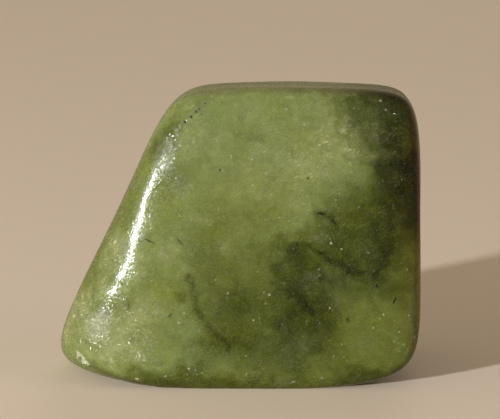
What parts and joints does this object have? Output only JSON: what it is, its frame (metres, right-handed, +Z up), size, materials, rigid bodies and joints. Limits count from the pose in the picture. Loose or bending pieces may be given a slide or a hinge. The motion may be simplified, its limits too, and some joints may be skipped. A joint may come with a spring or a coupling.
{
  "type": "tumbled nephrite stone",
  "caption": "Polished tumbled piece of green nephrite jade with rounded edges and one slanting side; stands on a small flat spot as a display, pocket or collector's stone.",
  "frame": {"origin": "on the surface that the stone stands on, under the middle of the stone's bounding box", "axes": "+Z up, +X across the broad polished face towards its upright side, and the broad face looks towards -Y"},
  "size_m": [0.033, 0.0176, 0.0269],
  "materials": {
    "stone": "tumble polished, slightly translucent, mottled olive green with dark green clouds, black specks and whitish flecks"
  },
  "bodies": {
    "root": {"stone": "stone"}
  },
  "joints": []
}
